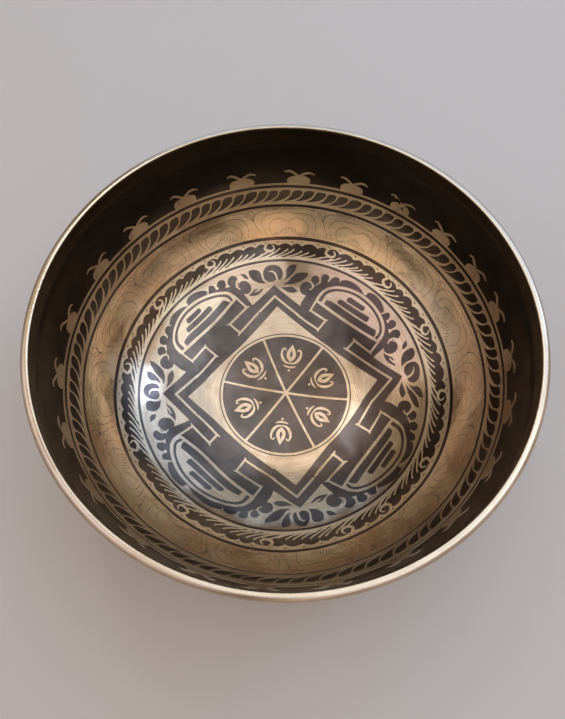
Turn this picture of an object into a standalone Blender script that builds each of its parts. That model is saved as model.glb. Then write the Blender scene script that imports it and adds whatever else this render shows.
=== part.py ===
"""Hand-hammered bronze singing bowl, 300 mm across.

The bowl is one turned and hammered piece of bell bronze: a deep rounded dish
with one continuous wall, a flat polished lip and a flattened base that it
rests on.  It has no foot ring, handle or fastening, so there is one node.

Metres, +Z up, origin at the centre of the flat base.
"""
import math

import bpy

# ---- driving dimensions (metres) -------------------------------------------
RIM_DIAMETER = 0.300        # outside of the lip
HEIGHT = 0.1250             # from the resting face to the top of the lip
LIP_WIDTH = 0.0036          # width of the lip
BASE_THICKNESS = 0.0038     # metal under the middle of the dish
ROUNDNESS = 2.5             # exponent of the bowl's curve (2 = ellipse)
LIP_ROUND = 0.0005          # rounding of the lip's inner edge
LIP_CROWN_WIDTH = 0.0013    # the lip's outer edge is worn round over this width
LIP_CROWN_DROP = 0.0011     # and this height
OUTER_ROUNDNESS = 2.46      # exponent of the outside curve
BASE_RADIUS = 0.036         # radius of the flat face the bowl rests on

# ---- resolution --------------------------------------------------------------
SEGMENTS = 112              # steps round the axis
WALL_POINTS = 22            # points along each side of the wall

OUTER_RADIUS = RIM_DIAMETER / 2.0
INNER_RADIUS = OUTER_RADIUS - LIP_WIDTH
INNER_DEPTH = HEIGHT - BASE_THICKNESS


def outer_points():
    """Outside of the wall from under the lip's rounding down to the base."""
    # the curve would end below the table: the base is hammered flat where it
    # meets the table, at BASE_RADIUS
    depth = HEIGHT / (1.0 - (BASE_RADIUS / OUTER_RADIUS) ** OUTER_ROUNDNESS) \
        ** (1.0 / OUTER_ROUNDNESS)
    pts = []
    for i in range(WALL_POINTS):
        a = math.radians(1.2 + 88.0 * i / (WALL_POINTS - 1))
        c, s = math.cos(a), math.sin(a)
        k = (c ** OUTER_ROUNDNESS + s ** OUTER_ROUNDNESS) ** (-1.0 / OUTER_ROUNDNESS)
        r = OUTER_RADIUS * c * k
        z = HEIGHT - depth * s * k
        if r < BASE_RADIUS * 1.06:
            break
        pts.append((r, z))
    pts.append((BASE_RADIUS, 0.0))
    return pts


def inner_points():
    """Inside of the wall from the middle of the dish up to the lip."""
    pts = [(0.0, BASE_THICKNESS)]
    for i in range(WALL_POINTS):
        a = math.radians(84.0 - 82.6 * i / (WALL_POINTS - 1))
        c, s = math.cos(a), math.sin(a)
        k = (c ** ROUNDNESS + s ** ROUNDNESS) ** (-1.0 / ROUNDNESS)
        pts.append((INNER_RADIUS * c * k, HEIGHT - INNER_DEPTH * s * k))
    return pts


def lip_points():
    """The lip, flat on top and worn round at its outer edge, from outside in."""
    pts = []
    for i in range(4):
        a = math.radians(90.0 * i / 3)
        pts.append((OUTER_RADIUS - LIP_CROWN_WIDTH * (1.0 - math.cos(a)),
                    HEIGHT - LIP_CROWN_DROP * (1.0 - math.sin(a))))
    for i in range(4):
        a = math.radians(90.0 - 90.0 * i / 3)
        pts.append((INNER_RADIUS + LIP_ROUND - LIP_ROUND * math.cos(a),
                    HEIGHT - LIP_ROUND + LIP_ROUND * math.sin(a)))
    return pts


def bowl_profile():
    """Closed section: centre of the dish -> lip -> down the outside -> base."""
    inside = list(reversed(inner_points()))          # lip down to the middle
    lip = list(reversed(lip_points()))               # inside edge to outside edge
    outside = outer_points()                         # lip down to the base
    profile = list(reversed(inside)) + lip + outside + [(0.0, 0.0)]
    return profile


def material(name, colour, roughness, metallic):
    mat = bpy.data.materials.new(name)
    mat.use_nodes = True
    shader = mat.node_tree.nodes["Principled BSDF"]
    shader.inputs["Base Color"].default_value = (*colour, 1.0)
    shader.inputs["Roughness"].default_value = roughness
    shader.inputs["Metallic"].default_value = metallic
    mat.diffuse_color = (*colour, 1.0)
    return mat


def main():
    for old in list(bpy.data.objects):
        bpy.data.objects.remove(old, do_unlink=True)

    parts = bpy.data.collections.new("singing_bowl")
    bpy.context.scene.collection.children.link(parts)

    profile = bowl_profile()
    mesh = bpy.data.meshes.new("bowl")
    mesh.from_pydata([(r, 0.0, z) for r, z in profile],
                     [(i, i + 1) for i in range(len(profile) - 1)], [])
    bowl = bpy.data.objects.new("bowl", mesh)
    parts.objects.link(bowl)
    bowl.data.materials.append(material("bell_bronze", (0.43, 0.30, 0.17), 0.34, 1.0))

    turn = bowl.modifiers.new("turn", "SCREW")
    turn.axis = 'Z'
    turn.angle = math.tau
    turn.screw_offset = 0.0
    turn.steps = SEGMENTS
    turn.render_steps = SEGMENTS
    turn.use_merge_vertices = True
    turn.merge_threshold = 0.00002
    turn.use_smooth_shade = True


main()
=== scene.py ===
"""Hammered bronze singing bowl: the visual model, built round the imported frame.

The etched ornament is drawn as signed distances on the unrolled inside of the
bowl, cut into outlines, triangulated, and laid on the hammered wall as thin
raised metal.  Everything is in metres once it is placed; the drawing itself is
in millimetres.
"""
import math

import bpy
import numpy as np
from mathutils import Vector, Matrix
from mathutils.geometry import delaunay_2d_cdt


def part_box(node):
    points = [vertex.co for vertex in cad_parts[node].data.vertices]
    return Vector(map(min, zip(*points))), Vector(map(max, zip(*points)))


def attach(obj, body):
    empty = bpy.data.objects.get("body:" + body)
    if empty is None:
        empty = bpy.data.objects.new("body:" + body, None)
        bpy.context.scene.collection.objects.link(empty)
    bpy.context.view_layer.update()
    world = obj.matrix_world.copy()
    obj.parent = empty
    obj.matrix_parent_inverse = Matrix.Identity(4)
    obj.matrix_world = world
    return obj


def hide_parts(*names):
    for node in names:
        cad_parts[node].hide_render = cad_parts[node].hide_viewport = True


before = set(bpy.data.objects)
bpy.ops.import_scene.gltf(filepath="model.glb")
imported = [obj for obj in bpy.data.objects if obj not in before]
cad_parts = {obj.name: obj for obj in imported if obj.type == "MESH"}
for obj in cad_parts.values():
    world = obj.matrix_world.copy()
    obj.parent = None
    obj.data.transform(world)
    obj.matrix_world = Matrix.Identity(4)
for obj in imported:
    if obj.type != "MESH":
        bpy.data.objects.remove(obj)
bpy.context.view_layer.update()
box_low, box_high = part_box("bowl")


# ---------------------------------------------------------------------------
# The wall: the inside is a superellipse, the same curve that the CAD uses.
# ---------------------------------------------------------------------------
OUT_R = 0.5 * (box_high[0] - box_low[0]) * 1000.0        # 150 mm
HEIGHT = (box_high[2] - box_low[2]) * 1000.0             # 125 mm
IN_R = OUT_R - 3.6
FLOOR_T = 3.8
IN_DEPTH = HEIGHT - FLOOR_T
IN_N = 2.5
OUT_N = 2.46
BASE_R = 36.0
OUT_DEPTH = HEIGHT / (1.0 - (BASE_R / OUT_R) ** OUT_N) ** (1.0 / OUT_N)


def superellipse(a, mouth, depth, n):
    """Radius and height at angle a: 0 at the mouth, 90 degrees at the floor."""
    c, s = np.cos(a), np.sin(a)
    k = (c ** n + s ** n) ** (-1.0 / n)
    return mouth * c * k, HEIGHT - depth * s * k


_a = np.linspace(math.pi / 2, 0.0, 6001)
_r, _z = superellipse(np.clip(_a, 0, math.pi / 2), IN_R, IN_DEPTH, IN_N)
_r[0] = 0.0
_s = np.concatenate([[0.0], np.cumsum(np.hypot(np.diff(_r), np.diff(_z)))])
ARC = float(_s[-1])                                      # floor centre to lip


def r_of(s):
    return np.interp(s, _s, _r)


def z_of(s):
    return np.interp(s, _s, _z)


def s_of(r):
    return np.interp(r, _r, _s)


# ---------------------------------------------------------------------------
# Soft noise, and the hammered unevenness of the metal
# ---------------------------------------------------------------------------
_lattice = np.random.default_rng(7).uniform(-1, 1, (64, 64, 64)).astype(np.float32)


def noise3(x, y, z, cell, shift=0.0):
    """Smooth lattice noise in -1..1, cell size in mm."""
    q = [np.asarray(v, dtype=np.float64) / cell + 17.0 + shift * (k + 1.3)
         for k, v in enumerate((x, y, z))]
    i = [np.floor(v).astype(np.int64) for v in q]
    f = [v - w for v, w in zip(q, i)]
    f = [t * t * t * (t * (t * 6 - 15) + 10) for t in f]
    out = 0.0
    for dx in (0, 1):
        for dy in (0, 1):
            for dz in (0, 1):
                w = ((f[0] if dx else 1 - f[0]) * (f[1] if dy else 1 - f[1])
                     * (f[2] if dz else 1 - f[2]))
                out = out + w * _lattice[(i[0] + dx) & 63, (i[1] + dy) & 63, (i[2] + dz) & 63]
    return out


def hammered_in(x, y, z):
    """How far the inside stands proud of its true curve, mm."""
    return (0.26 * noise3(x, y, z, 21.0) + 0.10 * noise3(x, y, z, 10.0, 3.0)
            + 0.020 * noise3(x, y, z, 4.5, 5.0))


def inside(X, Y, lift=0.0):
    """Unrolled plane (mm from the floor's centre along the wall) to space, mm."""
    s = np.hypot(X, Y)
    s_safe = np.maximum(s, 1e-9)
    cx, cy = X / s_safe, Y / s_safe
    r, z = r_of(s), z_of(s)
    ds = 0.05
    s0 = np.clip(s - ds, 0, ARC)
    s1 = np.clip(s + ds, 0, ARC)
    tr, tz = r_of(s1) - r_of(s0), z_of(s1) - z_of(s0)
    ln = np.hypot(tr, tz)
    ln[ln == 0] = 1
    nr, nz = -tz / ln, tr / ln                            # towards the axis
    x, y = r * cx, r * cy
    fade = np.clip((ARC - s) / 10.0, 0.0, 1.0)
    crease = 0.45 * np.exp(-((s - (ARC - 14.0)) / 3.0) ** 2)   # soft step under the lip
    h = hammered_in(x, y, z) * fade + lift - crease * fade
    return np.stack([x + nr * cx * h, y + nr * cy * h, z + nz * h], -1)


def inside_normal(X, Y, eps=0.35):
    a = inside(X + eps, Y) - inside(X - eps, Y)
    b = inside(X, Y + eps) - inside(X, Y - eps)
    n = np.cross(a, b)
    return n / np.linalg.norm(n, axis=-1, keepdims=True)


# ---------------------------------------------------------------------------
# Drawing in two tones with signed distances: below zero is the dark ground
# ---------------------------------------------------------------------------
CAP = 1.2
CELL = 0.16
HALF = 188.0


class Drawing:
    def __init__(self, half=HALF, cell=CELL):
        self.cell = cell
        self.half = half
        self.n = int(round(2 * half / cell)) + 1
        self.f = np.full((self.n, self.n), CAP, np.float32)
        self.axis = (np.arange(self.n) * cell - half).astype(np.float64)

    def window(self, x0, x1, y0, y1, pad=CAP):
        i0 = max(int((x0 - pad + self.half) / self.cell), 0)
        i1 = min(int((x1 + pad + self.half) / self.cell) + 2, self.n)
        j0 = max(int((y0 - pad + self.half) / self.cell), 0)
        j1 = min(int((y1 + pad + self.half) / self.cell) + 2, self.n)
        return slice(j0, j1), slice(i0, i1)

    def lay(self, win, d, dark):
        part = self.f[win]
        if dark:
            np.minimum(part, d, out=part)
        else:
            np.maximum(part, -d, out=part)

    def stroke(self, pts, widths, dark=False):
        """A line of varying width; pts Nx2 on the unrolled plane."""
        pts = np.asarray(pts, float)
        w = np.asarray(widths, float) * 0.5
        for (ax, ay), (bx, by), wa, wb in zip(pts[:-1], pts[1:], w[:-1], w[1:]):
            m = max(wa, wb) + CAP
            win = self.window(min(ax, bx), max(ax, bx), min(ay, by), max(ay, by), m)
            X = self.axis[win[1]][None, :] - ax
            Y = self.axis[win[0]][:, None] - ay
            dx, dy = bx - ax, by - ay
            L2 = dx * dx + dy * dy + 1e-12
            t = np.clip((X * dx + Y * dy) / L2, 0, 1)
            d = np.hypot(X - t * dx, Y - t * dy) - (wa + (wb - wa) * t)
            self.lay(win, np.minimum(d, CAP).astype(np.float32), dark)

    def fill(self, pts, dark=True):
        """A closed outline."""
        pts = np.asarray(pts, float)
        x0, y0 = pts.min(0)
        x1, y1 = pts.max(0)
        win = self.window(x0, x1, y0, y1, CAP + 0.2)
        xs = self.axis[win[1]]
        ys = self.axis[win[0]]
        dist = np.full((len(ys), len(xs)), CAP, np.float64)
        oi, oj = win[1].start, win[0].start
        nxt = np.roll(pts, -1, 0)
        for (ax, ay), (bx, by) in zip(pts, nxt):
            sub = self.window(min(ax, bx), max(ax, bx), min(ay, by), max(ay, by), CAP)
            sj = slice(max(sub[0].start - oj, 0), max(sub[0].stop - oj, 0))
            si = slice(max(sub[1].start - oi, 0), max(sub[1].stop - oi, 0))
            X = xs[si][None, :] - ax
            Y = ys[sj][:, None] - ay
            dx, dy = bx - ax, by - ay
            t = np.clip((X * dx + Y * dy) / (dx * dx + dy * dy + 1e-12), 0, 1)
            d = np.hypot(X - t * dx, Y - t * dy)
            part = dist[sj, si]
            np.minimum(part, d, out=part)
        inside_mask = np.zeros_like(dist, bool)
        ya, yb = pts[:, 1], nxt[:, 1]
        xa, xb = pts[:, 0], nxt[:, 0]
        for k, y in enumerate(ys):
            hit = (ya > y) != (yb > y)
            if not hit.any():
                continue
            cx = np.sort(xa[hit] + (y - ya[hit]) / (yb[hit] - ya[hit]) * (xb[hit] - xa[hit]))
            inside_mask[k] = (np.searchsorted(cx, xs) & 1).astype(bool)
        d = np.where(inside_mask, -dist, dist)
        self.lay(win, d.astype(np.float32), dark)

    def ring(self, s0, s1, wobble, dark=True):
        """A line all round between two distances from the centre."""
        block = 256
        for j in range(0, self.n, block):
            Y = self.axis[j:j + block][:, None]
            X = self.axis[None, :]
            S = np.hypot(X, Y)
            if wobble is not None:
                S = S - wobble(np.arctan2(Y, X))
            d = np.abs(S - 0.5 * (s0 + s1)) - 0.5 * (s1 - s0)
            self.lay((slice(j, j + block), slice(0, self.n)),
                     np.clip(d, -CAP, CAP).astype(np.float32), dark)

    def value(self, X, Y):
        i = np.clip((np.asarray(X) + self.half) / self.cell, 0, self.n - 1.001)
        j = np.clip((np.asarray(Y) + self.half) / self.cell, 0, self.n - 1.001)
        i0, j0 = i.astype(int), j.astype(int)
        fi, fj = i - i0, j - j0
        f = self.f
        return ((f[j0, i0] * (1 - fi) + f[j0, i0 + 1] * fi) * (1 - fj)
                + (f[j0 + 1, i0] * (1 - fi) + f[j0 + 1, i0 + 1] * fi) * fj)


# ---- curves ----------------------------------------------------------------

def smooth(pts, step=0.9, closed=False):
    """Catmull-Rom through the points."""
    p = np.asarray(pts, float)
    if len(p) < 3:
        return straight(p, step)
    if closed:
        q = np.vstack([p[-1:], p, p[:2]])
        spans = len(p)
    else:
        q = np.vstack([2 * p[0] - p[1], p, 2 * p[-1] - p[-2]])
        spans = len(p) - 1
    out = []
    for i in range(spans):
        a, b, c, d = q[i:i + 4]
        m = max(2, int(math.ceil(np.linalg.norm(c - b) / step)))
        t = (np.arange(m) / m)[:, None]
        out.append(0.5 * ((2 * b) + (c - a) * t + (2 * a - 5 * b + 4 * c - d) * t ** 2
                          + (3 * b - a - 3 * c + d) * t ** 3))
    if not closed:
        out.append(p[-1:])
    return np.vstack(out)


def straight(pts, step=1.2, closed=False):
    p = np.asarray(pts, float)
    if closed:
        p = np.vstack([p, p[:1]])
    out = []
    for a, b in zip(p[:-1], p[1:]):
        m = max(1, int(math.ceil(np.linalg.norm(b - a) / step)))
        t = (np.arange(m) / m)[:, None]
        out.append(a + (b - a) * t)
    if not closed:
        out.append(p[-1:])
    return np.vstack(out)


def arcs(*parts, step=0.8):
    """A closed outline of smooth arcs that meet at corners."""
    return np.vstack([smooth(p, step)[:-1] for p in parts])


def disc(cx, cy, rx, ry=None, turn=0.0, n=26):
    ry = rx if ry is None else ry
    t = np.linspace(0, 2 * math.pi, n, endpoint=False)
    x, y = rx * np.cos(t), ry * np.sin(t)
    c, s = math.cos(turn), math.sin(turn)
    return np.stack([cx + c * x - s * y, cy + s * x + c * y], -1)


def widths_along(pts, widths):
    if np.isscalar(widths):
        return np.full(len(pts), float(widths))
    d = np.concatenate([[0], np.cumsum(np.linalg.norm(np.diff(pts, axis=0), axis=1))])
    d /= max(d[-1], 1e-9)
    return np.interp(d, np.linspace(0, 1, len(widths)), widths)


def plan_to_flat(p):
    """Seen-from-above mm to the unrolled plane.  The whole mandala sits a little off the bowl's centre."""
    p = np.asarray(p, float) + (0.35, -0.45)
    r = np.hypot(p[:, 0], p[:, 1])
    k = np.where(r > 1e-6, s_of(r) / np.maximum(r, 1e-6), 1.0)
    return p * k[:, None]


def bend_map(src, dst):
    """Smooth plane map (thin-plate) that takes the points src to dst."""
    src = np.asarray(src, float)
    dst = np.asarray(dst, float)
    n = len(src)

    def kern(d2):
        return np.where(d2 > 0, d2 * np.log(np.maximum(d2, 1e-12)), 0.0)
    d2 = ((src[:, None] - src[None]) ** 2).sum(-1)
    A = np.zeros((n + 3, n + 3))
    A[:n, :n] = kern(d2) + 40.0 * np.eye(n)
    A[:n, n] = 1
    A[:n, n + 1:] = src
    A[n, :n] = 1
    A[n + 1:, :n] = src.T
    W = np.linalg.solve(A, np.vstack([dst, np.zeros((3, 2))]))

    def f(p):
        p = np.asarray(p, float)
        e2 = ((p[:, None] - src[None]) ** 2).sum(-1)
        return kern(e2) @ W[:n] + W[n] + p @ W[n + 1:]
    return f


def wob(seed, amount, lobes=(1, 2, 3, 5)):
    g = np.random.default_rng(seed)
    ph = g.uniform(0, 2 * math.pi, len(lobes))
    am = amount / np.sqrt(np.array(lobes, float))
    am = am / am.sum() * amount * 1.6

    def f(t):
        return sum(a * np.sin(k * t + p) for a, k, p in zip(am, lobes, ph))
    return f


ink = Drawing()
same = lambda p: p                                        # noqa: E731


def line(pts, w, dark=False, bend=same, curve=False, to=plan_to_flat, step=0.9):
    p = smooth(pts, step) if curve else straight(pts, step)
    ink.stroke(to(bend(p)), widths_along(p, w), dark)


def shape(outline, dark=True, bend=same, to=plan_to_flat):
    ink.fill(to(bend(np.asarray(outline, float))), dark)


# ---------------------------------------------------------------------------
# 1. The lines that go all the way round
# ---------------------------------------------------------------------------


def wander(values, dx, dy):
    """A ring's distance from the centre, given at equal angles all round; dx, dy: how far it sits off centre."""
    v = np.asarray(values, float)
    n = len(v)

    def f(t):
        q = (np.asarray(t, float) / (2 * math.pi)) % 1.0 * n
        i = np.floor(q).astype(int) % n
        u = q - np.floor(q)
        p0, p1, p2, p3 = v[(i - 1) % n], v[i], v[(i + 1) % n], v[(i + 2) % n]
        return (0.5 * (2 * p1 + (p2 - p0) * u + (2 * p0 - 5 * p1 + 4 * p2 - p3) * u ** 2
                       + (3 * p1 - p0 - 3 * p2 + p3) * u ** 3) + dx * np.cos(t) + dy * np.sin(t))
    return f


RING_1 = wander([106.7, 107.2, 108.5, 109.1, 109.2, 109.2, 108.9, 108.5, 108.3, 108.0, 107.2, 107.3], 0.40, -0.50)
RING_2 = wander([125.4, 126.1, 126.9, 126.6, 125.9, 126.4, 126.8, 127.1, 126.9, 126.6, 125.5, 126.0], 0.35, -0.70)
RING_3 = wander([152.8, 152.9, 153.0, 152.5, 151.9, 152.5, 153.0, 153.1, 152.6, 151.8, 151.4, 152.8], 0.45, -0.85)
RING_4 = wander([170.2, 169.8, 168.9, 168.1, 167.8, 168.0, 169.3, 171.0, 170.8, 170.3, 169.8, 170.6], 0.45, -0.90)
NOMINAL = (108.3, 126.2, 152.6, 169.4)
ink.ring(-0.95, 0.95, RING_1)
ink.ring(-1.3, 1.3, RING_2)
ink.ring(-1.08, 1.08, RING_3)
ink.ring(-1.15, 1.15, RING_4)
ink.ring(2.7, 400.0, RING_4)


def band_to_flat(p):
    """(degrees, mm) on bands of even width to the unrolled plane with its wandering rings."""
    p = np.asarray(p, float)
    a = np.radians(p[:, 0])
    v = p[:, 1]
    real = [f(a) for f in (RING_1, RING_2, RING_3, RING_4)]
    s = v + real[0] - NOMINAL[0]
    for k in range(3):
        u = (v - NOMINAL[k]) / (NOMINAL[k + 1] - NOMINAL[k])
        s = np.where(v >= NOMINAL[k], real[k] + u * (real[k + 1] - real[k]), s)
    s = np.where(v >= NOMINAL[3], v + real[3] - NOMINAL[3], s)
    return np.stack([s * np.cos(a), s * np.sin(a)], -1)


# ---------------------------------------------------------------------------
# 2. Four gates and four corners round the wheel (mm, seen from above).  One
#    gate and one corner are drawn, and bent into each of the four places,
#    which on hand work are never quite alike.
# ---------------------------------------------------------------------------
GATE_KEYS = [
    # corner tip, bright tip, inner tip, then round the gate's hooks and foot
    [(-8.5, 87.5), (-8, 79.3), (-6, 71.3), (26.4, 52.8), (32.3, 59.8), (20.4, 68.2), (25, 75.5),
     (71.8, 38.8), (65.6, 31.5), (54.3, 42.2), (48.2, 35.8), (61.5, 74.6), (17, 84.5), (80.4, 33.2),
     (87.5, 9.7), (79.8, 8.8), (69.8, 9.2), (24.2, 90.2), (31.8, 90.7), (83.3, 42.5), (81.2, 50.5)],
    [(87.5, 9.7), (79.8, 8.8), (69.8, 9.2), (54.3, -25.3), (62, -31.3), (71.3, -16.3), (78.2, -23),
     (40.5, -73), (30.5, -67.2), (42.7, -54), (35.5, -47.3), (77.8, -58), (87.3, -14.8), (34, -82.8),
     (11.5, -87.3), (9.3, -79.3), (8.5, -70.3), (91.4, -22.2), (91, -31), (44.3, -83.8), (52.5, -81)],
    [(11.5, -87.3), (9.3, -79.3), (8.5, -70.3), (-27.8, -52), (-33.5, -60.5), (-15.3, -72.2), (-20.8, -80.3),
     (-75, -36.3), (-66.2, -28), (-53.5, -40.2), (-48.6, -33.7), (-64.3, -73), (-12, -87.5), (-84.3, -29),
     (-88.8, -5.8), (-79.8, -4.6), (-70.8, -5.3), (-19.5, -92), (-26.3, -93), (-87.3, -38.5), (-84.5, -46.8)],
    [(-88.8, -5.8), (-79.8, -4.6), (-70.8, -5.3), (-52.5, 29.5), (-61, 35.8), (-70, 23), (-77.8, 28.3),
     (-38.3, 76), (-30, 69.7), (-43, 55.5), (-34.8, 49.3), (-74, 64), (-88, 19), (-31.5, 84),
     (-8.5, 87.5), (-8, 79.3), (-6, 71.3), (-91.5, 27), (-90.5, 35.5), (-41, 87.7), (-50, 83.5)],
]
CORNER_KEYS = [
    # tip, curl, sliver, petals, slit leaf, small leaf, lobes each side, field corners
    [(-8.5, 87.5), (-9.5, 95.3), (-35.3, 93.2), (-28.8, 95.8), (9, 101.3), (18.3, 95.3), (-28, 78.8),
     (10.3, 83), (17, 84.5), (-31.5, 84), (-24.5, 71.8), (12.3, 71.8)],
    [(87.5, 9.7), (93.8, 12.2), (90.8, 36.3), (95.3, 29.8), (99.3, -10), (96.2, -17), (75.7, 28.8),
     (86.8, -7.3), (87.3, -14.8), (80.4, 33.2), (67.7, 27.5), (73.2, -10.5)],
    [(11.5, -87.3), (12, -94.8), (35.5, -92.3), (26, -96), (-0.5, -101), (-12.5, -98.2), (30.3, -77.8),
     (-7.5, -83.8), (-12, -87.5), (34, -82.8), (25.5, -71.2), (-6.5, -75)],
    [(-88.8, -5.8), (-95.8, -5.6), (-94.5, -29.3), (-97.5, -20), (-100, 9), (-99, 17.5), (-78.3, -25),
     (-83.7, 14), (-88, 19), (-84.3, -29), (-71.5, -22), (-73.3, 14.7)],
]


def draw_ground(b):
    # dark ground of this side, from the corner's tip to the next one's
    shape(straight([(-8.5, 87.5), (12.3, 71.8), (13.4, 75), (17.2, 80.4), (20.5, 84.6), (26, 87.6),
                    (33, 89), (40, 88.6), (44, 87.2), (51, 86), (57, 81.8), (61, 77.4), (64, 75.8),
                    (70, 72.2), (74.4, 66), (76, 61), (77.4, 56), (78.8, 51), (79.6, 45), (79.3, 39),
                    (77.2, 34.4), (75.2, 33.4), (67.7, 27.5), (87.5, 9.7), (69.8, 9.2), (-6, 71.3)],
                   1.5, True), True, b)
    line([(-8.2, 86.6), (-6.1, 72.2)], 1.2, True, b)


def draw_gate(b):
    for pts in ([(24.1, 90.2), (27.4, 85.6)], [(31.8, 90.6), (33.8, 86.6)], [(39.5, 87.9), (40.2, 85)],
                [(77.0, 57.2), (74.2, 57.6)], [(81.3, 50.5), (77, 48.6)], [(83.4, 42.4), (78, 41.2)],
                [(80.5, 33.3), (76, 36.4)], [(16.9, 84.7), (20.4, 80.6)]):
        line(pts, (3.0, 3.6), True, b)
    # round lobes along the halo, big at the foot and small towards the top
    for cx, cy, rx, ry in ((16.9, 84.7, 5.0, 4.9), (24.1, 90.2, 3.35, 3.4), (31.8, 90.6, 3.5, 3.5),
                           (39.5, 87.9, 4.0, 3.4), (77.3, 57.4, 3.3, 3.2), (81.3, 50.5, 3.5, 3.4),
                           (83.4, 42.4, 4.2, 4.0), (80.5, 33.3, 5.0, 5.0)):
        shape(disc(cx, cy, rx, ry), True, b)
    shape(arcs([(42.5, 88), (45.5, 88.5), (50.5, 87.4), (55.5, 84.2), (59.4, 80.2), (61.4, 77)],
               [(61.4, 77), (54, 74), (42.5, 88)]), True, b)
    shape(arcs([(63.4, 76.9), (66.5, 76.4), (70.4, 73.8), (74, 69), (76, 64), (76.2, 60.8)],
               [(76.2, 60.8), (70, 62), (63.4, 76.9)]), True, b)
    # bright hooks between the lobes
    for pts, w in (([(20.8, 89.2), (22.2, 87.2), (21.9, 84.9), (19.7, 83.9)], (1.7, 1.3, 1.0, 0.9)),
                   ([(28.0, 92.8), (27.9, 90.2), (27.0, 88.2), (25.3, 87.2)], (1.7, 1.3, 1.1, 0.9)),
                   ([(35.7, 92.2), (35.6, 90.6), (34.2, 88.7)], (1.5, 1.2, 0.9)),
                   ([(44.0, 90.2), (43.6, 88.8), (43.6, 87.6)], (1.4, 1.1, 0.8)),
                   ([(61.9, 79.8), (61.6, 77.8), (62.6, 76.0), (63.9, 76.4)], (1.5, 1.5, 1.3, 0.8)),
                   ([(78.6, 60.6), (76.0, 60.2), (74.0, 60.0)], (1.7, 1.2, 0.8)),
                   ([(81.0, 55.2), (80.0, 54.4), (79.1, 52.4)], (1.4, 1.2, 0.8)),
                   ([(85.3, 47.3), (82.3, 47.0), (80.0, 44.8)], (1.6, 1.3, 0.9)),
                   ([(86.0, 38.0), (82.8, 39.8), (80.2, 39.2), (78.6, 36.9)], (1.7, 1.4, 1.2, 0.9))):
        line(pts, w, False, b, True)
    # half-moon: bright out to the arch, then its dark line, then the bars
    arch = smooth([(24.2, 76.2), (27.6, 80.7), (32, 83.8), (37, 84.8), (43, 84.5), (50, 82.5), (57, 78.9),
                   (63, 74.3), (69, 67.9), (73.6, 60.4), (76.2, 53.3), (76.6, 47.2), (75.2, 42.6), (72.4, 38.4)])
    shape(np.vstack([arch, straight([(72.4, 38.4), (24.6, 75.2)])]), False, b)
    line([(28.4, 75.9), (31.6, 80), (36, 81.9), (42, 81.9), (49, 80), (55.6, 76.7), (61, 72.4),
          (66.8, 66.3), (71, 59.4), (73.3, 53.1), (73.7, 47.5), (72.6, 44.2), (70.6, 42.2)],
         (3.0, 2.4, 1.9, 1.9, 1.9, 1.9, 1.9, 1.9, 1.9, 2.0, 2.2), True, b, True)
    shape(straight([(30.9, 72.6), (33.0, 75.4), (36.2, 74.4), (39.5, 72.4), (70.3, 48.2), (69.9, 45.2), (68.6, 42.9)],
                   1.2, True), True, b)
    shape(straight([(41.2, 72.6), (42.2, 74.6), (44.4, 74.9), (65.6, 58.8), (64.8, 56.4), (63.2, 55.4)], 1.2, True),
          True, b)
    shape(straight([(48.3, 73.2), (49.3, 75.4), (51.6, 75.6), (62.6, 66.8), (62.0, 65.0), (60.2, 64.3)], 1.2, True),
          True, b)
    # bright lines: the hooks of the gate, and the sill under the half-moon
    line([(-8, 79.3), (8, 66.6), (15.2, 60.9), (26.4, 52.8), (32.3, 59.8), (20.4, 68.2), (25, 75.5)],
         (1.9, 1.6, 1.6, 1.6, 1.5, 1.6, 1.5), False, b)
    line([(26.4, 53.2), (26.0, 51.6)], (1.5, 1.2), False, b)
    line([(32.0, 59.4), (33.6, 60.0)], (1.5, 0.9), False, b)
    line([(21.0, 68.2), (19.4, 67.8)], (1.4, 0.8), False, b)
    line([(71.8, 38.8), (65.6, 31.5), (54.3, 42.2), (48.2, 35.8), (79.8, 8.8)],
         (1.5, 1.6, 1.6, 1.6, 1.9), False, b)
    line([(65.6, 32.2), (66.4, 30.0)], (1.5, 1.0), False, b)
    line([(54.3, 42.0), (53.6, 43.8)], (1.5, 1.0), False, b)
    line([(48.2, 35.8), (46.2, 36.9)], (1.5, 0.9), False, b)
    line([(25, 75.4), (71.8, 38.8)], 1.5, False, b)


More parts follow.
